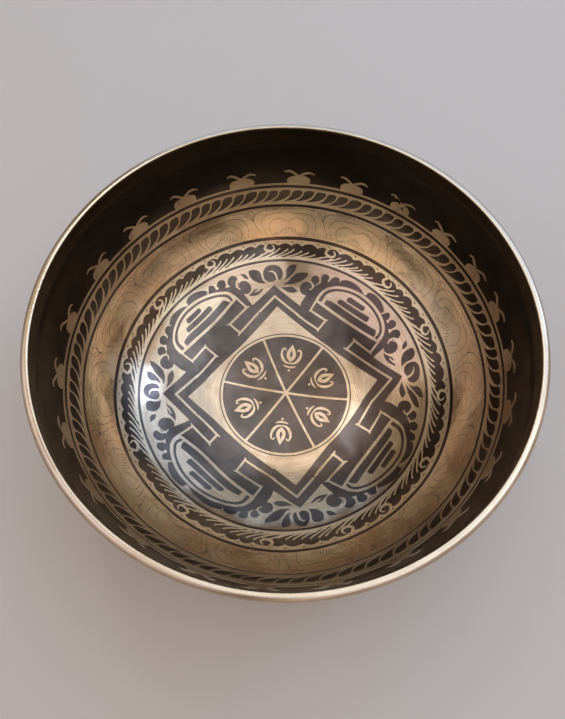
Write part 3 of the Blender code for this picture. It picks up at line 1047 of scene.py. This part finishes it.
def bowl_shell():
    th = np.linspace(0, 2 * math.pi, COLS, endpoint=False)
    # inside, from near the centre of the floor to just under the lip
    s_in = ARC * np.linspace(0.004, 0.991, ROWS_IN)
    rows = []
    for s in s_in:
        rows.append(inside(s * np.cos(th), s * np.sin(th)))
    # lip: turned in by a hair, a narrow polished land, then a broad round-over to the outside
    w = wob(61, 0.18, (2, 3, 7))(th)

    def rz(r, z):
        return np.stack([r * np.cos(th), r * np.sin(th), z + 0 * th], -1)
    swell = 0.10 + 0.45 * np.cos(th) ** 2                  # the lip is beaten a little thicker on two sides
    for r, z in LIP_LINE:
        soft = w * (0.5 if IN_R + 0.4 < r < OUT_R - 0.1 else 0.0)
        lean = 0.30 * np.maximum(0.0, np.sin(th)) ** 2 * min(1.0, max(0.0, r - IN_R + 0.15) / 1.6)
        rows.append(rz(r + np.minimum(soft, 0) - swell * min(1.0, max(0.0, (IN_R + 0.3 - r) / 0.7)), z - lean))
    # outside, from the lip down to the edge of the flat base
    t = np.linspace(0.0, 1.0, 4001)
    ang = t * math.pi / 2
    ro, zo = superellipse(ang, OUT_R, OUT_DEPTH, OUT_N)
    keep = (zo > 0.0) & (zo < HEIGHT - 2.9)
    ro, zo = ro[keep], zo[keep]
    so = np.concatenate([[0], np.cumsum(np.hypot(np.diff(ro), np.diff(zo)))])
    su = np.linspace(0, so[-1], ROWS_OUT)
    ru, zu = np.interp(su, so, ro), np.interp(su, so, zo)
    dr, dz = np.gradient(ru, su), np.gradient(zu, su)
    ridge = np.zeros((len(rows), COLS))
    for r, z, a, b, d in zip(ru, zu, dr, dz, su):
        nr, nz = -b, a
        x, y = r * np.cos(th), r * np.sin(th)
        fade = min(1.0, d / 8.0) * min(1.0, (so[-1] - d) / 14.0)
        h, dish = hammered_out(x, y, z + 0 * x)
        h = (h - 0.20) * fade
        ridge = np.vstack([ridge, dish])
        rows.append(np.stack([x + nr * np.cos(th) * h, y + nr * np.sin(th) * h, z + nz * h], -1))
    for r, z in ((BASE_R - 0.6, 0.02), (BASE_R - 2.0, 0.0), (24.0, 0.0), (12.0, 0.0), (3.0, 0.0)):
        rows.append(rz(r, z))
    rows = out_of_round(np.array(rows)) / 1000.0
    R = len(rows)
    verts = rows.reshape(-1, 3)
    floor_mid = inside(np.array([1e-6]), np.array([0.0]))[0] / 1000.0
    verts = np.vstack([verts, floor_mid[None], [[0, 0, 0]]])
    i = np.arange(COLS)
    i2 = (i + 1) % COLS
    quads = []
    for k in range(R - 1):
        a, b = k * COLS + i, k * COLS + i2
        c, d = (k + 1) * COLS + i2, (k + 1) * COLS + i
        quads.append(np.stack([a, b, c, d], -1))
    quads = np.vstack(quads)
    tris = np.vstack([np.stack([np.full(COLS, R * COLS), i2, i], -1),
                      np.stack([np.full(COLS, R * COLS + 1), (R - 1) * COLS + i, (R - 1) * COLS + i2], -1)])
    quads = np.vstack([quads[:, [0, 3, 2, 1]]])
    flat = np.vstack([quads[:, [0, 1, 2]], quads[:, [0, 2, 3]], tris[:, [0, 1, 2]]])
    # outward faces: test one on the floor, which must look up
    p = verts[flat[0]]
    up = np.cross(p[1] - p[0], p[2] - p[0])[2]
    if up < 0:
        flat[:len(quads) * 2] = flat[:len(quads) * 2][:, ::-1]
    q = verts[flat[len(quads) * 2]]
    if np.cross(q[1] - q[0], q[2] - q[0])[2] < 0:
        flat[len(quads) * 2:] = flat[len(quads) * 2:][:, ::-1]
    me = mesh_of("bowl_shell", verts, flat)
    me.polygons.foreach_set("use_smooth", np.ones(len(flat), bool))
    lay = me.attributes.new("ridge", "FLOAT", "POINT")
    full = np.zeros(len(verts), np.float32)
    full[:ridge.size] = ridge.ravel()
    full[ridge.size:] = 0.4
    lay.data.foreach_set("value", full)
    zone = np.zeros(len(flat), np.int32)
    row = np.concatenate([np.repeat(np.arange(R - 1), COLS)] * 2 + [np.zeros(COLS, int), np.full(COLS, R)])
    zone[row >= ROWS_IN] = 1                              # lip
    zone[row >= ROWS_IN + 6] = 3                          # its round-over
    zone[row >= ROWS_IN + len(LIP_LINE)] = 2              # outside
    me.polygons.foreach_set("material_index", zone)
    ob = bpy.data.objects.new("bowl_shell", me)
    bpy.context.scene.collection.objects.link(ob)
    return ob


shell = bowl_shell()

# ---------------------------------------------------------------------------
# 7. Metal
# ---------------------------------------------------------------------------


class Nodes:
    """Short way to write a node tree."""

    def __init__(self, name):
        self.mat = bpy.data.materials.new(name)
        self.mat.use_nodes = True
        self.t = self.mat.node_tree
        self.t.nodes.clear()
        self.out = self.t.nodes.new("ShaderNodeOutputMaterial")
        self.bsdf = self.t.nodes.new("ShaderNodeBsdfPrincipled")
        self.link(self.bsdf.outputs[0], self.out.inputs[0])
        self.geo = self.t.nodes.new("ShaderNodeNewGeometry")
        self.co = self.t.nodes.new("ShaderNodeTexCoord").outputs["Object"]

    def link(self, a, b):
        self.t.links.new(a, b)

    def put(self, socket, v):
        if isinstance(v, bpy.types.NodeSocket):
            self.link(v, socket)
        else:
            socket.default_value = v

    def math(self, op, a, b=None, c=None, clamp=False):
        n = self.t.nodes.new("ShaderNodeMath")
        n.operation = op
        n.use_clamp = clamp
        for s, v in zip(n.inputs, (a, b, c)):
            if v is not None:
                self.put(s, v)
        return n.outputs[0]

    def noise(self, scale, detail=2.0, rough=0.5, vec=None, dist=0.0):
        n = self.t.nodes.new("ShaderNodeTexNoise")
        n.inputs["Scale"].default_value = scale
        n.inputs["Detail"].default_value = detail
        n.inputs["Roughness"].default_value = rough
        n.inputs["Distortion"].default_value = dist
        self.link(vec or self.co, n.inputs["Vector"])
        return n.outputs["Fac"]

    def stretch(self, sx, sy, sz, rot=(0, 0, 0)):
        n = self.t.nodes.new("ShaderNodeMapping")
        n.inputs["Scale"].default_value = (sx, sy, sz)
        n.inputs["Rotation"].default_value = rot
        self.link(self.co, n.inputs["Vector"])
        return n.outputs[0]

    def ramp(self, fac, stops, smooth_step=False):
        n = self.t.nodes.new("ShaderNodeValToRGB")
        n.color_ramp.interpolation = "EASE" if smooth_step else "LINEAR"
        el = n.color_ramp.elements
        while len(el) > 1:
            el.remove(el[-1])
        el[0].position = stops[0][0]
        el[0].color = colour(stops[0][1])
        for pos, c in stops[1:]:
            e = el.new(pos)
            e.color = colour(c)
        self.put(n.inputs[0], fac)
        return n.outputs[0]

    def mix(self, fac, a, b, mode="MIX"):
        n = self.t.nodes.new("ShaderNodeMix")
        n.data_type = "RGBA"
        n.blend_type = mode
        self.put(n.inputs[0], fac)
        self.put(n.inputs[6], a if isinstance(a, bpy.types.NodeSocket) else colour(a))
        self.put(n.inputs[7], b if isinstance(b, bpy.types.NodeSocket) else colour(b))
        return n.outputs[2]

    def remap(self, v, a, b, c, d):
        n = self.t.nodes.new("ShaderNodeMapRange")
        for s, x in zip(n.inputs[:5], (v, a, b, c, d)):
            self.put(s, x)
        return n.outputs[0]

    def bump(self, height, distance, strength=1.0, over=None):
        n = self.t.nodes.new("ShaderNodeBump")
        n.inputs["Strength"].default_value = strength
        n.inputs["Distance"].default_value = distance
        self.link(height, n.inputs["Height"])
        if over is not None:
            self.link(over, n.inputs["Normal"])
        return n.outputs[0]


def colour(c):
    if isinstance(c, (int, float)):
        return (c, c, c, 1.0)
    return tuple(c) + (1.0,) if len(c) == 3 else tuple(c)


def srgb(r, g, b):
    f = lambda v: (v / 255 / 12.92) if v / 255 <= 0.04045 else ((v / 255 + 0.055) / 1.055) ** 2.4   # noqa: E731
    return (f(r), f(g), f(b))


def turned(m, along, across):
    """Coordinates that run round the bowl: slow along the turning marks, fast across them."""
    part = m.t.nodes.new("ShaderNodeSeparateXYZ")
    m.link(m.co, part.inputs[0])
    x, y, z = part.outputs
    r = m.math("ADD", m.math("SQRT", m.math("ADD", m.math("MULTIPLY", x, x), m.math("MULTIPLY", y, y))), 0.0005)
    vec = m.t.nodes.new("ShaderNodeCombineXYZ")
    m.link(m.math("MULTIPLY", m.math("DIVIDE", x, r), along), vec.inputs[0])
    m.link(m.math("MULTIPLY", m.math("DIVIDE", y, r), along), vec.inputs[1])
    m.link(m.math("MULTIPLY", m.math("ADD", r, m.math("MULTIPLY", z, 1.2)), across), vec.inputs[2])
    return vec.outputs[0]


def brass(name, light, deep, rough, tarnish=0.35, seed=0.0, patches=0.0, olive=0.0, dents=0.0, drawn=0.35):
    m = Nodes(name)
    cloud = m.noise(26.0 + seed, 3.0, 0.55)
    fine = m.noise(260.0, 2.0, 0.5)
    marks = m.noise(1.0, 3.0, 0.6, turned(m, 5.0, 1100.0))
    streak = m.noise(1.0, 2.0, 0.5, turned(m, 3.0, 260.0))
    spots = m.noise(150.0, 1.0, 0.5)
    base = m.mix(m.remap(cloud, 0.36, 0.66, 0.0, 1.0), deep, light)
    base = m.mix(m.remap(streak, 0.35, 0.7, 0.0, drawn), base, m.mix(1.0, base, deep, "MULTIPLY"))
    base = m.mix(m.remap(marks, 0.45, 0.72, 0.0, 0.8 * drawn), base, m.mix(1.0, base, (0.86, 0.80, 0.72), "MULTIPLY"))
    if olive:
        cool = m.mix(1.0, base, (0.90, 1.0, 0.86), "MULTIPLY")
        rose = m.mix(1.0, base, (1.0, 0.90, 0.88), "MULTIPLY")
        hue = m.noise(21.0, 2.0, 0.5, None, 0.6)
        base = m.mix(m.remap(hue, 0.5, 0.62, 0.0, olive), base, cool)
        base = m.mix(m.remap(hue, 0.5, 0.38, 0.0, olive), base, rose)
    base = m.mix(m.math("MULTIPLY", m.remap(spots, 0.64, 0.74, 0.0, 1.0), tarnish), base, srgb(112, 78, 46))
    m.put(m.bsdf.inputs["Base Color"], base)
    m.put(m.bsdf.inputs["Metallic"], 1.0)
    r = m.math("ADD", m.remap(cloud, 0.3, 0.7, rough - 0.04, rough + 0.06), m.remap(marks, 0.35, 0.7, -0.03, 0.04))
    if patches:
        r = m.math("ADD", r, m.remap(m.noise(30.0, 2.0, 0.5), 0.42, 0.58, -patches, patches))
    m.put(m.bsdf.inputs["Roughness"], r)
    b = m.bump(fine, 0.00005, 0.22)
    if dents:
        b = m.bump(m.noise(85.0, 2.0, 0.45, None, 0.3), dents, 1.0, b)
    m.put(m.bsdf.inputs["Normal"], m.bump(marks, 0.00003, 0.35, b))
    return m.mat


def patina(name, dark, worn, rough, metal=0.85, low=None, stain=0.5, wax=0.0):
    """Oxidised metal.  With low, a pair of lighter colours that takes over towards the floor, darkened on its east
    side as painted shade.
    """
    m = Nodes(name)
    cloud = m.noise(19.0, 4.0, 0.6)
    fine = m.noise(380.0, 2.0, 0.6)
    drift = m.noise(60.0, 3.0, 0.6)
    blend = m.remap(cloud, 0.35, 0.7, 0.0, 1.0)
    base = m.mix(blend, dark, worn)
    if low is not None:
        part = m.t.nodes.new("ShaderNodeSeparateXYZ")
        m.link(m.co, part.inputs[0])
        height = m.math("ADD", part.outputs[2], m.remap(drift, 0.3, 0.7, -0.004, 0.004))
        mottle = m.noise(46.0, 5.0, 0.62, None, 0.4)
        floor_tone_and_painted_shade = m.mix(m.remap(mottle, 0.36, 0.64, 0.0, 1.0), *low)
        floor_tone_and_painted_shade = m.mix(m.remap(m.noise(33.0, 2.0, 0.5), 0.45, 0.65, 0.0, 0.55), floor_tone_and_painted_shade,
                          m.mix(1.0, floor_tone_and_painted_shade, (1.04, 0.93, 0.97), "MULTIPLY"))
        # painted shade: towards the east (+X) side the floor colour is darkened and warmed, standing in for dimmer
        # light there
        east = m.math("ADD", part.outputs[0], m.remap(mottle, 0.3, 0.7, -0.02, 0.02))
        floor_tone_and_painted_shade = m.mix(m.remap(east, -0.01, 0.075, 0.0, 1.0), floor_tone_and_painted_shade, m.mix(1.0, floor_tone_and_painted_shade, (0.70, 0.62, 0.58), "MULTIPLY"))
        specks = m.noise(700.0, 1.0, 0.5)
        floor_tone_and_painted_shade = m.mix(m.remap(specks, 0.72, 0.80, 0.0, 0.55), floor_tone_and_painted_shade, (0.34, 0.29, 0.25))
        base = m.mix(m.ramp(m.remap(height, 0.022, 0.084, 0.0, 1.0), [(0.0, 0.0), (0.5, 0.40), (0.85, 0.68), (1.0, 1.0)]), floor_tone_and_painted_shade, base)
    base = m.mix(m.remap(drift, 0.56, 0.75, 0.0, stain), base, m.mix(0.6, base, srgb(104, 76, 52)))
    m.put(m.bsdf.inputs["Base Color"], base)
    m.put(m.bsdf.inputs["Metallic"], metal)
    m.put(m.bsdf.inputs["Roughness"], m.remap(cloud, 0.3, 0.7, rough - 0.05, rough + 0.08))
    m.put(m.bsdf.inputs["Coat Weight"], wax)
    m.put(m.bsdf.inputs["Coat Roughness"], 0.15)
    b = m.bump(fine, 0.00006, 0.4)
    m.put(m.bsdf.inputs["Normal"], m.bump(m.noise(1.0, 2.0, 0.5, turned(m, 4.0, 420.0)), 0.00004, 0.35, b))
    return m.mat


def hammered(name, light, deep, rough):
    """Beaten outside: round dents side by side, rubbed bright on the ridges, darker in the hollows."""
    m = Nodes(name)
    shift = m.t.nodes.new("ShaderNodeVectorMath")
    shift.operation = "MULTIPLY_ADD"
    soft = m.t.nodes.new("ShaderNodeTexNoise")
    soft.inputs["Scale"].default_value = 60.0
    m.link(m.co, soft.inputs["Vector"])
    m.link(soft.outputs["Color"], shift.inputs[0])
    shift.inputs[1].default_value = (0.007, 0.007, 0.007)
    m.link(m.co, shift.inputs[2])
    cells = m.t.nodes.new("ShaderNodeTexVoronoi")
    cells.feature = "SMOOTH_F1"
    cells.inputs["Scale"].default_value = 92.0
    cells.inputs["Smoothness"].default_value = 0.28
    m.link(shift.outputs[0], cells.inputs["Vector"])
    dish = m.math("MULTIPLY", cells.outputs["Distance"], cells.outputs["Distance"])
    cloud = m.noise(17.0, 4.0, 0.6)
    fine = m.noise(420.0, 2.0, 0.6)
    marks = m.noise(1.0, 3.0, 0.6, turned(m, 4.0, 900.0))
    spots = m.noise(210.0, 2.0, 0.6)
    base = m.mix(m.remap(cloud, 0.33, 0.68, 0.0, 1.0), deep, light)
    worn = m.t.nodes.new("ShaderNodeAttribute")
    worn.attribute_name = "ridge"
    rub = m.math("ADD", worn.outputs["Fac"], m.remap(m.noise(95.0, 4.0, 0.65), 0.3, 0.7, -0.45, 0.45))
    base = m.mix(m.remap(rub, 0.70, -0.15, 0.0, 0.62), base, m.mix(1.0, base, (0.58, 0.49, 0.42), "MULTIPLY"))
    base = m.mix(m.remap(rub, 0.60, 1.25, 0.0, 0.8), base, m.mix(1.0, base, (1.40, 1.38, 1.30), "MULTIPLY"))
    base = m.mix(m.remap(marks, 0.4, 0.72, 0.0, 0.45), base, m.mix(1.0, base, (0.74, 0.68, 0.60), "MULTIPLY"))
    base = m.mix(m.remap(spots, 0.62, 0.72, 0.0, 0.45), base, srgb(86, 58, 38))
    m.put(m.bsdf.inputs["Base Color"], base)
    m.put(m.bsdf.inputs["Metallic"], 1.0)
    r = m.math("ADD", m.remap(cloud, 0.3, 0.7, rough - 0.04, rough + 0.07), m.remap(spots, 0.4, 0.7, -0.03, 0.07))
    m.put(m.bsdf.inputs["Roughness"], m.math("ADD", r, m.remap(rub, 0.0, 1.0, 0.06, -0.06)))
    b = m.bump(dish, 0.0010, 0.25)
    b = m.bump(fine, 0.00006, 0.35, b)
    m.put(m.bsdf.inputs["Normal"], m.bump(marks, 0.00003, 0.3, b))
    return m.mat


BRIGHT = brass("etched_brass", (0.71, 0.557, 0.388), (0.60, 0.465, 0.315), 0.205, 0.12)
LEAF = brass("etched_leaf", (0.92, 0.79, 0.57), (0.80, 0.67, 0.47), 0.30, 0.15, 1.5)
GOLD = brass("polished_gold", (0.96, 0.80, 0.59), (0.85, 0.69, 0.50), 0.28, 0.05, 3.0, 0.03, 0.45, 0.00028, 0.5)
DULL = brass("dull_bronze", (0.81, 0.665, 0.465), (0.68, 0.545, 0.375), 0.39, 0.25, 7.0, 0.0, 0.4)
LIP = brass("polished_lip", (0.84, 0.74, 0.57), (0.74, 0.63, 0.47), 0.25, 0.05, 5.0)
CROWN = brass("lip_crown", (0.70, 0.595, 0.48), (0.58, 0.48, 0.38), 0.30, 0.2, 9.0)
DARK = patina("dark_patina_with_painted_shade", (0.036, 0.026, 0.018), (0.055, 0.041, 0.029), 0.22, 0.9,
              ((0.074, 0.058, 0.046), (0.150, 0.121, 0.098)), 0.5, 0.45)
OUTSIDE = hammered("hammered_outside", (0.53, 0.355, 0.20), (0.36, 0.23, 0.125), 0.27)

shell.data.materials.append(DARK)
shell.data.materials.append(LIP)
shell.data.materials.append(OUTSIDE)
shell.data.materials.append(CROWN)
for name, ob in relief.items():
    ob.data.materials.append({"leaf_scroll": LEAF, "polished_band": GOLD, "rope_band": DULL, "fruit_row": DULL}.get(name, BRIGHT))
for ob in [shell] + list(relief.values()):
    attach(ob, "root")
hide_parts("bowl")

# ---------------------------------------------------------------------------
# 8. Floor, light and camera
# ---------------------------------------------------------------------------
fm = Nodes("pale_floor")
fm.put(fm.bsdf.inputs["Base Color"], colour((0.60, 0.565, 0.515)))
fm.put(fm.bsdf.inputs["Roughness"], 0.85)
bpy.ops.mesh.primitive_plane_add(size=24.0, location=(0, 0, 0))
floor = bpy.context.object
floor.name = "floor"
floor.data.materials.append(fm.mat)

world = bpy.data.worlds.new("studio")
bpy.context.scene.world = world
world.use_nodes = True
wt = world.node_tree
sky = wt.nodes["Background"]
sky.inputs[1].default_value = 1.0
aim = wt.nodes.new("ShaderNodeTexCoord")
part = wt.nodes.new("ShaderNodeSeparateXYZ")
wt.links.new(aim.outputs["Generated"], part.inputs[0])
rise = wt.nodes.new("ShaderNodeMapRange")
rise.interpolation_type = "SMOOTHSTEP"
for socket, v in zip(rise.inputs[1:5], (0.0, 0.36, 0.0, 1.0)):
    socket.default_value = v
wt.links.new(part.outputs[2], rise.inputs[0])
side = wt.nodes.new("ShaderNodeMapRange")
for socket, v in zip(side.inputs[1:5], (-1.0, 1.0, 0.0, 1.0)):
    socket.default_value = v
turn = wt.nodes.new("ShaderNodeVectorMath")
turn.operation = "DOT_PRODUCT"
wt.links.new(aim.outputs["Generated"], turn.inputs[0])
turn.inputs[1].default_value = (0.90, -0.43, 0.0)
wt.links.new(turn.outputs["Value"], side.inputs[0])
band = wt.nodes.new("ShaderNodeMix")
band.data_type = "RGBA"
wt.links.new(side.outputs[0], band.inputs[0])
band.inputs[6].default_value = (0.20, 0.185, 0.165, 1.0)
band.inputs[7].default_value = (0.72, 0.70, 0.68, 1.0)
whole = wt.nodes.new("ShaderNodeMix")
whole.data_type = "RGBA"
wt.links.new(rise.outputs[0], whole.inputs[0])
wt.links.new(band.outputs[2], whole.inputs[6])
whole.inputs[7].default_value = (0.24, 0.1955, 0.145, 1.0)
wt.links.new(whole.outputs[2], sky.inputs[0])


def area_light(name, az, el, dist, size, size_y, watts, tint=(1, 1, 1)):
    """A softbox that looks at the bowl from a bearing and a height in degrees."""
    data = bpy.data.lights.new(name, "AREA")
    data.shape = "RECTANGLE"
    data.size = size
    data.size_y = size_y
    data.energy = watts
    data.color = tint
    ob = bpy.data.objects.new(name, data)
    bpy.context.scene.collection.objects.link(ob)
    a, e = math.radians(az), math.radians(el)
    ob.location = (dist * math.cos(e) * math.cos(a), dist * math.cos(e) * math.sin(a), dist * math.sin(e) + 0.05)
    ob.rotation_euler = (Vector((0, 0, 0.05)) - ob.location).to_track_quat("-Z", "Y").to_euler()
    return ob


area_light("top", 0, 89.9, 2.0, 1.1, 1.1, 4.35, (0.81, 0.86, 1.0))
area_light("high_middle", 97, 62, 2.0, 1.0, 0.85, 2.0, (1.0, 0.84, 0.66))
area_light("high_east", 0, 58, 2.0, 1.1, 0.85, 6.0, (0.71, 0.82, 1.0))
area_light("high_back", 60, 58, 2.0, 1.1, 0.85, 4.2, (0.59, 0.74, 1.0))
area_light("high_west", 198, 58, 2.0, 2.0, 0.85, 5.6, (0.86, 0.79, 1.0))
area_light("low_north_west", 147, 47, 2.0, 0.7, 0.6, 0.55, (1.0, 0.80, 0.60))
area_light("high_front", 300, 58, 2.0, 1.1, 0.85, 3.8, (0.84, 0.86, 1.0))
area_light("low_east", 0, 32, 2.0, 1.35, 0.8, 1.3, (1.0, 0.67, 0.44))
area_light("low_north_east", 45, 32, 2.0, 1.35, 0.8, 5.7, (0.42, 0.62, 1.0))
area_light("low_back", 90, 32, 2.0, 1.35, 0.8, 1.85, (0.48, 0.70, 1.0))
area_light("skirting", 90, 21, 2.0, 1.6, 0.35, 3.4, (0.42, 0.63, 1.0))
area_light("low_west", 180, 32, 2.0, 1.35, 0.8, 2.1, (1.0, 0.96, 1.0))
area_light("low_south_west", 225, 32, 2.0, 1.35, 0.8, 1.95, (1.0, 0.77, 0.53))
area_light("low_front", -83, 28, 2.0, 0.5, 0.3, 1.2, (1.0, 0.60, 0.34))
area_light("low_front_east", 315, 32, 2.0, 1.35, 0.8, 1.1, (1.0, 0.78, 0.65))
area_light("window", 31, 39, 2.2, 0.24, 0.36, 2.6, (0.44, 0.60, 1.0))
area_light("strip", 112, 57, 2.0, 0.10, 0.45, 1.6, (0.76, 0.84, 1.0))

TILT, ROLL = math.radians(24.20), math.radians(0.43)
forward = Vector((0, math.sin(TILT), -math.cos(TILT)))
upward = Vector((0, math.cos(TILT), math.sin(TILT)))
right = Vector((1, 0, 0))
cx = math.cos(ROLL) * right + math.sin(ROLL) * upward
cy = -math.sin(ROLL) * right + math.cos(ROLL) * upward
place = (-forward * 2.2941 + right * -0.0073 + upward * -0.1565) * 0.15 + Vector((0, 0, 0.125))
cam_data = bpy.data.cameras.new("camera")
cam_data.sensor_width = 36.0
cam_data.sensor_fit = "AUTO"
cam_data.lens = 30.04
cam_data.clip_start = 0.01
camera = bpy.data.objects.new("camera", cam_data)
bpy.context.scene.collection.objects.link(camera)
camera.matrix_world = Matrix(((cx.x, cy.x, -forward.x, place.x), (cx.y, cy.y, -forward.y, place.y),
                              (cx.z, cy.z, -forward.z, place.z), (0, 0, 0, 1)))
bpy.context.scene.camera = camera
bpy.context.scene.view_settings.view_transform = "Standard"
